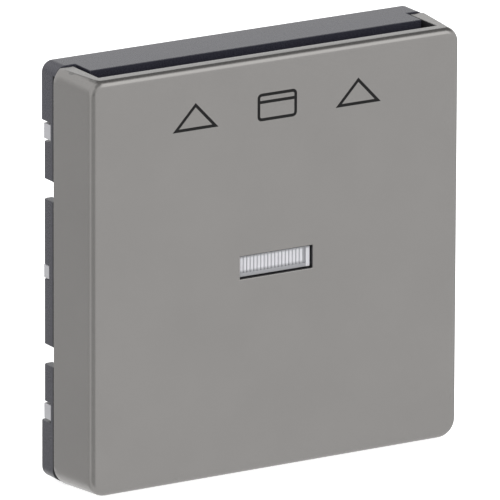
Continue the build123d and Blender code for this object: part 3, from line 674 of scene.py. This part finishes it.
def rib_tree():
    """A row of upright half-round ribs along X, added to a lens body."""
    sizes = {
        "Count": RIB_COUNT,
        "Start": (0.0, 0.0, 0.0),
        "Pitch": 0.6 * MM,
        "Rib radius": 0.26 * MM,
        "Rib height": 2.4 * MM,
    }
    tree, given = node_tree("lens_ribs", sizes)
    step = add(tree, "CombineXYZ", {"X": given["Pitch"]})
    places = {"Count": given["Count"], "Start Location": given["Start"], "Offset": step}
    line = add(tree, "GeometryNodeMeshLine", places, mode="OFFSET")
    round_bar = {"Vertices": 20, "Radius": given["Rib radius"], "Depth": given["Rib height"]}
    rib = add(tree, "GeometryNodeMeshCylinder", round_bar)
    row = add(tree, "GeometryNodeInstanceOnPoints", {"Points": line, "Instance": rib})
    lens = add(tree, "GeometryNodeJoinGeometry", {0: [given["Geometry"], row]})
    end_tree(tree, lens, given["Material"])
    return tree


def spring_tree():
    """A compression spring along Y with closed ends, started at each point."""
    sizes = {
        "Coil radius": 2.0 * MM,
        "Wire radius": 0.2 * MM,
        "Length": 5.4 * MM,
        "Turns": 6.0,
        "Closing": 0.75,
    }
    tree, given = node_tree("coil_spring", sizes)
    radii = {"Start Radius": given["Coil radius"], "End Radius": given["Coil radius"]}
    winding = {"Rotations": given["Turns"], "Height": given["Length"], "Resolution": 40}
    spiral = add(tree, "GeometryNodeCurveSpiral", {**radii, **winding})
    # The end turns lie closer together than the middle ones
    along = add(tree, "GeometryNodeSplineParameter")
    phase = add(tree, "Math", {0: along, 1: math.tau}, operation="MULTIPLY")
    shift = add(tree, "Math", {0: phase}, operation="SINE")
    for factor in (given["Length"], given["Closing"], -1 / math.tau):
        shift = add(tree, "Math", {0: shift, 1: factor}, operation="MULTIPLY")
    lift = add(tree, "CombineXYZ", {"Z": shift})
    coil = add(tree, "GeometryNodeSetPosition", {"Geometry": spiral, "Offset": lift})
    laid_down(tree, wire_along(tree, coil, given["Wire radius"], 10), given)
    return tree


# Outlines for the print


def inset(points, width):
    """A closed convex outline moved inwards, with mitred corners."""
    result = []
    count = len(points)
    for i in range(count):
        before, here, after = (Vector(points[k % count]) for k in (i - 1, i, i + 1))
        a = (here - before).normalized()
        b = (after - here).normalized()
        across = Vector((-a.y, a.x)) + Vector((-b.y, b.x))
        across = across / max(across.length_squared, 1e-12) * 2
        result.append(tuple(here + across * width))
    return result


def add_band(bm, outline, width, y):
    """A flat band on the inner side of a closed outline of (x, z) points."""
    outer, inner = (
        [bm.verts.new((x, y, z)) for x, z in points] for points in (outline, inset(outline, width))
    )
    count = len(outer)
    for i in range(count):
        j = (i + 1) % count
        bm.faces.new((outer[i], inner[i], inner[j], outer[j]))


def add_box(bm, low, high):
    """Adds a closed box between two corners."""
    place = Matrix.Translation((Vector(low) + Vector(high)) / 2)
    size = Matrix.Diagonal(Vector(high) - Vector(low)).to_4x4()
    bmesh.ops.create_cube(bm, size=1.0, matrix=place @ size)


def rounded_box(width, height, radius, steps=6):
    """The outline of a box with round corners, anticlockwise."""
    points = []
    for quarter, (sx, sz) in enumerate(((1, -1), (1, 1), (-1, 1), (-1, -1))):
        cx, cz = sx * (width / 2 - radius), sz * (height / 2 - radius)
        for i in range(steps + 1):
            angle = math.pi / 2 * (quarter - 1 + i / steps)
            points.append((cx + radius * math.cos(angle), cz + radius * math.sin(angle)))
    return points


# Sizes and colours that a user would change


def number(name, description, value, **limits):
    """A number, with its unit and limits."""
    return bpy.props.FloatProperty(name=name, description=description, default=value, **limits)


def length(name, description, value):
    """A length, given in millimetres."""
    return number(name, description, value * MM, unit="LENGTH", precision=6, min=0.0)


def tint(name, description, hex_colour):
    """A colour, given as sRGB hex."""
    limits = {"subtype": "COLOR", "size": 4, "min": 0.0, "max": 1.0}
    return bpy.props.FloatVectorProperty(
        name=name, description=description, default=linear(hex_colour), **limits
    )


class CardSwitchSizes(bpy.types.PropertyGroup):
    """Sizes of what the scene adds to the CAD shapes."""

    cover_edge: length("Cover edge", "Rounding of the cover's sharp edges", 0.14)
    base_edge: length("Base edge", "Rounding of the base's sharp edges", 0.09)
    small_edge: length("Small edge", "Rounding of small pieces' edges", 0.05)
    ink_width: length("Print line", "Width of the printed lines", 0.45)
    ink_depth: length("Print depth", "Thickness of the printed ink", 0.008)
    arrow_width: length("Arrow width", "Width of a printed arrow head", 7.6)
    arrow_height: length("Arrow height", "Height of a printed arrow head", 4.0)
    arrow_x: length("Arrow place", "From the middle to an arrow head", 13.6)
    arrow_z: length("Arrow base", "Height of the arrow heads' lower line", 21.6)
    card_width: length("Card sign width", "Width of the printed card sign", 6.6)
    card_height: length("Card sign height", "Height of the card sign", 4.1)
    card_corner: length("Card sign corner", "Radius of the sign's corners", 0.7)
    card_z: length("Card sign place", "Height of the card sign's middle", 23.4)
    card_stripe: length("Card stripe", "From the sign's middle up to its stripe", 0.75)
    lens_width: length("Lens width", "Width of the lens in the window", 11.8)
    lens_height: length("Lens height", "Height of the lens in the window", 3.0)
    lens_flange: length("Lens flange", "From the lens's front to its flange", 0.8)
    land_left: length("Left land", "Plain edge at the lens's left", 0.15)
    land_right: length("Right land", "Plain edge at the lens's right", 0.6)
    land_bottom: length("Bottom land", "Plain edge at the lens's bottom", 0.55)
    land_top: length("Top land", "Plain edge at the lens's top", 0.1)
    rib_radius: length("Rib radius", "Radius of the lens's ribs", 0.28)
    rib_depth: length("Rib depth", "Height of the ribs above the plate", 0.26)
    rib_gap: length("Rib gap", "Groove between the last rib and the land", 0.45)
    coil_radius: length("Spring radius", "Radius of the return spring", 2.0)
    wire_radius: length("Wire radius", "Radius of the spring's wire", 0.2)
    screw_slot: length("Screw slot", "Width of the screws' slots", 0.5)


class CardSwitchColours(bpy.types.PropertyGroup):
    """Colours of the finishes."""

    cover: tint("Cover", "Metallic lacquer of the front cover", "#93918F")
    bare: tint("Cover inside", "Plastic inside the cover, not lacquered", "#2B2B2D")
    base: tint("Base", "Moulded carrier frame", "#363640")
    lens: tint("Lens", "Milky lens and light guide", "#E5E5EA")
    # The colour of the painted shade in the lens's troughs and along its edges
    lens_shade: tint("Lens troughs", "What shows between the lens's ribs", "#97989C")
    clips: tint("Clips", "Retaining clips", "#C3C3C7")
    lever: tint("Lever", "Card lever", "#2A2A2C")
    steel: tint("Steel", "Lever pin and spring", "#9C9EA1")
    board: tint("Board", "Solder mask", "#1E5A33")
    copper: tint("Tracks", "Tracks under the solder mask", "#2F7A48")
    lamp: tint("Lamps", "Resin of the lamps", "#EDE5C4")
    epoxy: tint("Components", "Moulded components", "#161616")
    zinc: tint("Screws", "Zinc plate", "#B4B7BB")
    brass: tint("Brass", "Terminals, pins and blade", "#C9A256")
    silver: tint("Contacts", "Contact faces", "#DBDBD8")
    housing: tint("Housing", "Mechanism housing", "#DBDBD8")
    switch: tint("Switch", "Snap switch case and lid", "#222224")
    plunger: tint("Plunger", "Switch plunger", "#C43A28")
    cage: tint("Cages", "Terminal cages", "#B8B5AB")
    ink: tint("Print", "Printed signs", "#0C0C0D")
    paper: tint("Paper", "Floor", "#F4F4F4")


class CardSwitchStage(bpy.types.PropertyGroup):
    """The camera's place and the strength of the lights."""

    azimuth: number(
        "Azimuth", "The camera's angle round the object", math.radians(-31.21), subtype="ANGLE"
    )
    elevation: number(
        "Elevation", "The camera's angle above level", math.radians(16.08), subtype="ANGLE"
    )
    roll: number("Roll", "The camera's tilt", math.radians(-0.218), subtype="ANGLE")
    distance: length("Distance", "From the camera to the object", 1734.5)
    ambient: number("Ambient", "Light from all round", 0.6, min=0.0)
    key: number("Key", "Power of the front lamp", 2.6, unit="POWER", min=0.0)
    top: number("Top", "Power of the lamp above", 1.7, unit="POWER", min=0.0)


# Operators


class PieceOperator(bpy.types.Operator):
    """What the operators that make pieces share."""

    bl_options = {"REGISTER", "UNDO"}

    def execute(self, context):
        self.make(context.scene.card_switch_sizes, context.scene.card_switch_colours)
        return {"FINISHED"}


class CARDSWITCH_OT_cover(PieceOperator):
    """Makes the lacquered front cover"""

    bl_idname = "card_switch.cover"
    bl_label = "Front cover"

    def make(self, sizes, colours):
        lacquer = metallic_lacquer(colours.cover, colours.bare)
        rounded("cover_shell", "front_cover", sizes.cover_edge, lacquer)


class CARDSWITCH_OT_print(PieceOperator):
    """Prints the arrow heads and the card sign on the cover"""

    bl_idname = "card_switch.print"
    bl_label = "Printed signs"

    def make(self, sizes, colours):
        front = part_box("front_cover")[0].y
        line = sizes.ink_width
        bm = bmesh.new()
        for side in (-1, 1):
            x, z = side * sizes.arrow_x, sizes.arrow_z
            half = sizes.arrow_width / 2
            head = [(x - half, z), (x + half, z), (x, z + sizes.arrow_height)]
            add_band(bm, head, line, front - sizes.ink_depth)
        card = rounded_box(sizes.card_width, sizes.card_height, sizes.card_corner)
        raised = [(x, z + sizes.card_z) for x, z in card]
        add_band(bm, raised, line, front - sizes.ink_depth)
        stripe = sizes.card_z + sizes.card_stripe
        half = (sizes.card_width - line) / 2
        low, high = stripe - line / 2, stripe + line / 2
        y = front - sizes.ink_depth * STRIPE_PROUD
        corners = ((-half, low), (half, low), (half, high), (-half, high))
        bm.faces.new([bm.verts.new((x, y, z)) for x, z in corners])
        solid = bmesh.ops.extrude_face_region(bm, geom=bm.faces[:])
        rear = [v for v in solid["geom"] if isinstance(v, bmesh.types.BMVert)]
        bmesh.ops.translate(bm, verts=rear, vec=(0.0, INK_SUNK, 0.0))
        bmesh.ops.recalc_face_normals(bm, faces=bm.faces)
        mesh = mesh_of("printed_signs", bm)
        new_piece("printed_signs", mesh, made_of("printed_ink", colours.ink))
        mesh.shade_flat()


class CARDSWITCH_OT_base(PieceOperator):
    """Makes the carrier frame"""

    bl_idname = "card_switch.base"
    bl_label = "Carrier frame"

    def make(self, sizes, colours):
        plastic = made_of("moulded_base", colours.base, seam_shade)
        rounded("base_frame", "carrier_frame", sizes.base_edge, plastic)


class CARDSWITCH_OT_clips(PieceOperator):
    """Makes the six retaining clips"""

    bl_idname = "card_switch.clips"
    bl_label = "Retaining clips"

    def make(self, sizes, colours):
        acetal = made_of("acetal_clips", colours.clips)
        rounded("clip_set", "retaining_clips", sizes.base_edge, acetal)


class CARDSWITCH_OT_lens(PieceOperator):
    """Makes the ribbed lens and the light guide behind it"""

    bl_idname = "card_switch.lens"
    bl_label = "Lens and light guide"

    def make(self, sizes, colours):
        clear = clear_polycarbonate(colours.lens, colours.lens_shade)
        low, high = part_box("window_lens")
        front = low.y
        flange, plate = front + sizes.lens_flange, front + sizes.rib_depth
        half_x, half_z = sizes.lens_width / 2, sizes.lens_height / 2
        left, right = sizes.land_left - half_x, half_x - sizes.land_right
        bottom, top = sizes.land_bottom - half_z, half_z - sizes.land_top
        bm = bmesh.new()
        for near, far in (
            ((low.x, flange, low.z), high),
            ((-half_x, plate, -half_z), (half_x, flange, half_z)),
            ((-half_x, front, top), (half_x, plate, half_z)),
            ((-half_x, front, -half_z), (half_x, plate, bottom)),
            ((-half_x, front, bottom), (left, plate, top)),
            ((right, front, bottom), (half_x, plate, top)),
        ):
            add_box(bm, near, far)
        pitch = (right - left - sizes.rib_gap) / RIB_COUNT
        ribs = {
            "Start": (left + pitch / 2, front + sizes.rib_radius, (bottom + top) / 2),
            "Pitch": pitch,
            "Rib radius": sizes.rib_radius,
            "Rib height": top - bottom,
            "Material": clear,
        }
        mesh = made_by_nodes("ribbed_lens", mesh_of("lens_body", bm), rib_tree(), ribs)
        new_piece("ribbed_lens", mesh, clear, replaced=["window_lens"])
        mesh.shade_flat()
        rounded("light_plug", "light_guide", sizes.small_edge, clear)


class CARDSWITCH_OT_lever(PieceOperator):
    """Makes the card lever, its pin and its spring"""

    bl_idname = "card_switch.lever"
    bl_label = "Card lever"

    def make(self, sizes, colours):
        edge = sizes.small_edge
        acetal = made_of("acetal_lever", colours.lever)
        rounded("card_rocker", "card_lever", edge, acetal, "card_lever")
        pin_steel = made_of("drawn_pin_steel", colours.steel)
        rounded("rocker_pin", "lever_pin", edge, pin_steel)
        low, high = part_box("lever_spring")
        wire = sizes.wire_radius
        middle = (low + high) / 2
        steel = made_of("spring_wire_steel", colours.steel)
        coil = {
            "Coil radius": sizes.coil_radius,
            "Wire radius": wire,
            "Length": high.y - low.y - 2 * wire,
            "Material": steel,
        }
        start = points_mesh("spring_start", [(middle.x, low.y + wire, middle.z)])
        mesh = made_by_nodes("return_spring", start, spring_tree(), coil)
        spring = new_piece("return_spring", mesh, steel, replaced=["lever_spring"])
        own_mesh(spring)


class CARDSWITCH_OT_electronics(PieceOperator):
    """Makes the circuit board and what it carries"""

    bl_idname = "card_switch.electronics"
    bl_label = "Circuit board"

    def make(self, sizes, colours):
        epoxy = made_of("black_epoxy", colours.epoxy)
        brass = made_of("stamped_brass", colours.brass)
        mask = board_laminate(colours.board, colours.copper)
        resin = made_of("lamp_epoxy", colours.lamp)
        for name, node, material, slot in (
            ("lamp_board", "circuit_board", mask, "board_laminate"),
            ("lamps", "indicator_leds", resin, "led_resin"),
            ("chip_resistor", "series_resistor", epoxy, "component_black"),
            ("diode", "blocking_diode", epoxy, "component_black"),
            ("lamp_pins", "lamp_contacts", brass, "contact_brass"),
        ):
            rounded(name, node, sizes.small_edge, material)


class CARDSWITCH_OT_housing(PieceOperator):
    """Makes the mechanism housing"""

    bl_idname = "card_switch.housing"
    bl_label = "Mechanism housing"

    def make(self, sizes, colours):
        resin = made_of("pressed_urea", colours.housing)
        rounded("mechanism_cup", "mechanism_housing", sizes.base_edge, resin)


class CARDSWITCH_OT_screws(PieceOperator):
    """Makes all the slotted screws"""

    bl_idname = "card_switch.screws"
    bl_label = "Screws"

    def make(self, sizes, colours):
        zinc = made_of("zinc_plated_steel", colours.zinc)
        tree = screw_tree()
        # Shank radius, length, head radius, head height and thread pitch in millimetres, and
        # the seed of the screws' angles. A size that is None comes from the CAD solid.
        rows = (
            ("plate_screws", "housing_screws", 0.85, 3.6, 1.5, 1.2, 0.6, 3),
            ("board_fixings", "board_screws", 0.75, 2.6, 1.5, 0.8, 0.5, 8),
            ("clamp_screws", "terminal_screws", 1.15, None, 2.1, None, 0.7, 5),
        )
        for name, node, shank, depth, head, height, pitch, seed in rows:
            centres, low, high = screw_centres(node, head * MM)
            height = height * MM if height else (high - low) * HEAD_SHARE
            depth = depth * MM if depth else high - low - height
            seats = points_mesh(name + "_seats", [(x, high - height, z) for x, z in centres])
            screw = {
                "Shank radius": shank * MM,
                "Length": depth,
                "Head radius": head * MM,
                "Head height": height,
                "Slot": sizes.screw_slot,
                "Thread pitch": pitch * MM,
                "Seed": seed,
                "Material": zinc,
            }
            mesh = made_by_nodes(name, seats, tree, screw)
            new_piece(name, mesh, zinc, replaced=[node])
            mesh.shade_flat()


class CARDSWITCH_OT_switch(PieceOperator):
    """Makes the snap switch and its contacts"""

    bl_idname = "card_switch.switch"
    bl_label = "Snap switch"

    def make(self, sizes, colours):
        edge = sizes.small_edge
        black = made_of("glass_filled_polyester", colours.switch)
        red = made_of("red_polyester", colours.plunger)
        brass = made_of("stamped_brass", colours.brass)
        silver = made_of("silver_alloy", colours.silver)
        fixed, plunger, blade = "fixed_body", "switch_plunger", "contact_blade"
        for name, node, width, material, slot, body in (
            ("snap_case", "switch_case", edge, black, "switch_moulding", fixed),
            ("snap_lid", "switch_lid", edge, black, "switch_moulding", fixed),
            ("snap_plunger", "switch_plunger", edge, red, "plunger_moulding", plunger),
            ("snap_blade", "contact_blade", edge / 2, brass, "contact_brass", blade),
            ("blade_rivet", "moving_contact", edge, silver, "contact_silver", blade),
            ("strip_rivets", "fixed_contacts", edge, silver, "contact_silver", fixed),
        ):
            rounded(name, node, width, material, body)


class CARDSWITCH_OT_terminals(PieceOperator):
    """Makes the terminal strips and their cages"""

    bl_idname = "card_switch.terminals"
    bl_label = "Terminals"

    def make(self, sizes, colours):
        brass = made_of("stamped_brass", colours.brass)
        nickel = made_of("nickel_plated_cages", colours.cage)
        for name, node, material, slot in (
            ("common_strip", "common_terminal", brass, "contact_brass"),
            ("closed_strip", "closed_terminal", brass, "contact_brass"),
            ("open_strip", "open_terminal", brass, "contact_brass"),
            ("clamp_cages", "terminal_cages", nickel, "cage_steel"),
        ):
            rounded(name, node, sizes.small_edge, material)


class CARDSWITCH_OT_stage(bpy.types.Operator):
    """Sets the floor, the lights and the camera"""

    bl_idname = "card_switch.stage"
    bl_label = "Stage"

    def execute(self, context):
        scene = context.scene
        setup = scene.card_switch_stage
        self.paper(scene.card_switch_colours)
        self.world(scene, setup)
        self.lamps(setup)
        self.camera(scene, setup)
        scene.view_settings.view_transform = "Standard"
        return {"FINISHED"}

    def paper(self, colours):
        """A wide floor that the object stands on."""
        mesh = bpy.data.meshes.new("floor")
        around = ((-1, -1), (1, -1), (1, 1), (-1, 1))
        corners = [(x * FLOOR_HALF, y * FLOOR_HALF, CAD_LOW.z) for x, y in around]
        mesh.from_pydata(corners, [], [(0, 1, 2, 3)])
        mesh.materials.append(studio_paper(colours.paper))
        floor = in_scene("floor", mesh)

    def world(self, scene, setup):
        """Even white light, plain white to the camera, and the cards to glossy surfaces."""
        world = bpy.data.worlds.new("studio")
        world.use_nodes = True
        tree = world.node_tree
        tree.nodes.clear()
        rays, seen = white_rays(tree)
        mirrored = studio_light(tree, add(tree, "TexCoord", out="Generated"))
        levels = {"A": setup.ambient, "B": mirrored}
        lit = add(tree, "Mix", {"Factor": rays["Is Glossy Ray"], **levels})
        strength = add(tree, "Mix", {"Factor": seen, "A": lit, "B": 1.0})
        glow = add(tree, "Background", {"Color": (1.0, 1.0, 1.0, 1.0), "Strength": strength})
        add(tree, "OutputWorld", {"Surface": glow})
        scene.world = world

    def lamps(self, setup):
        """Two large soft lamps: one in front to the left, one above."""
        for (name, place), power in zip(LAMPS.items(), (setup.key, setup.top)):
            data = bpy.data.lights.new(name, "AREA")
            data.shape = "SQUARE"
            data.size = LAMP_SIDE
            data.energy = power
            lamp = in_scene(name, data)
            lamp.location = place
            lamp.rotation_euler = (-Vector(place)).to_track_quat("-Z", "Y").to_euler()
            # Reflections see only the cards
            lamp.visible_glossy = False

    def camera(self, scene, setup):
        """The photo's viewpoint, from a long way off."""
        az, el, roll = setup.azimuth, setup.elevation, setup.roll
        back = Vector((math.sin(az) * math.cos(el), -math.cos(az) * math.cos(el), math.sin(el)))
        level = Vector((math.cos(az), math.sin(az), 0.0))
        upright = back.cross(level)
        right = level * math.cos(roll) - upright * math.sin(roll)
        up = level * math.sin(roll) + upright * math.cos(roll)
        aim = Vector((0.0, AIM_DEPTH, 0.0)) + right * AIM_RIGHT + up * AIM_UP
        data = bpy.data.cameras.new("camera")
        data.lens = PHOTO_LENS
        data.sensor_width = SENSOR
        data.clip_start = 0.1
        data.clip_end = 20.0
        camera = in_scene("camera", data)
        axes = Matrix((right, up, back)).transposed().to_4x4()
        camera.matrix_world = Matrix.Translation(aim + back * setup.distance) @ axes
        scene.camera = camera


OPERATORS = (
    CARDSWITCH_OT_stage,
    CARDSWITCH_OT_cover,
    CARDSWITCH_OT_print,
    CARDSWITCH_OT_base,
    CARDSWITCH_OT_clips,
    CARDSWITCH_OT_lens,
    CARDSWITCH_OT_lever,
    CARDSWITCH_OT_electronics,
    CARDSWITCH_OT_housing,
    CARDSWITCH_OT_screws,
    CARDSWITCH_OT_switch,
    CARDSWITCH_OT_terminals,
)

SETTINGS = {
    "card_switch_sizes": CardSwitchSizes,
    "card_switch_colours": CardSwitchColours,
    "card_switch_stage": CardSwitchStage,
}


class CARDSWITCH_PT_panel(bpy.types.Panel):
    """Lists the operators and the settings"""

    bl_idname = "CARDSWITCH_PT_panel"
    bl_label = "Key card switch"
    bl_space_type = "VIEW_3D"
    bl_region_type = "UI"
    bl_category = "Card switch"

    def draw(self, context):
        for operator in OPERATORS:
            self.layout.operator(operator.bl_idname)
        for attribute, group in SETTINGS.items():
            box = self.layout.box()
            settings = getattr(context.scene, attribute)
            for name in group.__annotations__:
                box.prop(settings, name)


CLASSES = (*SETTINGS.values(), *OPERATORS, CARDSWITCH_PT_panel)


def register():
    for cls in CLASSES:
        bpy.utils.register_class(cls)
    for attribute, group in SETTINGS.items():
        setattr(bpy.types.Scene, attribute, bpy.props.PointerProperty(type=group))


def unregister():
    for attribute in SETTINGS:
        delattr(bpy.types.Scene, attribute)
    for cls in reversed(CLASSES):
        bpy.utils.unregister_class(cls)


def main():
    register()
    for operator in OPERATORS:
        group, name = operator.bl_idname.split(".")
        getattr(getattr(bpy.ops, group), name)()


if __name__ == "__main__":
    main()
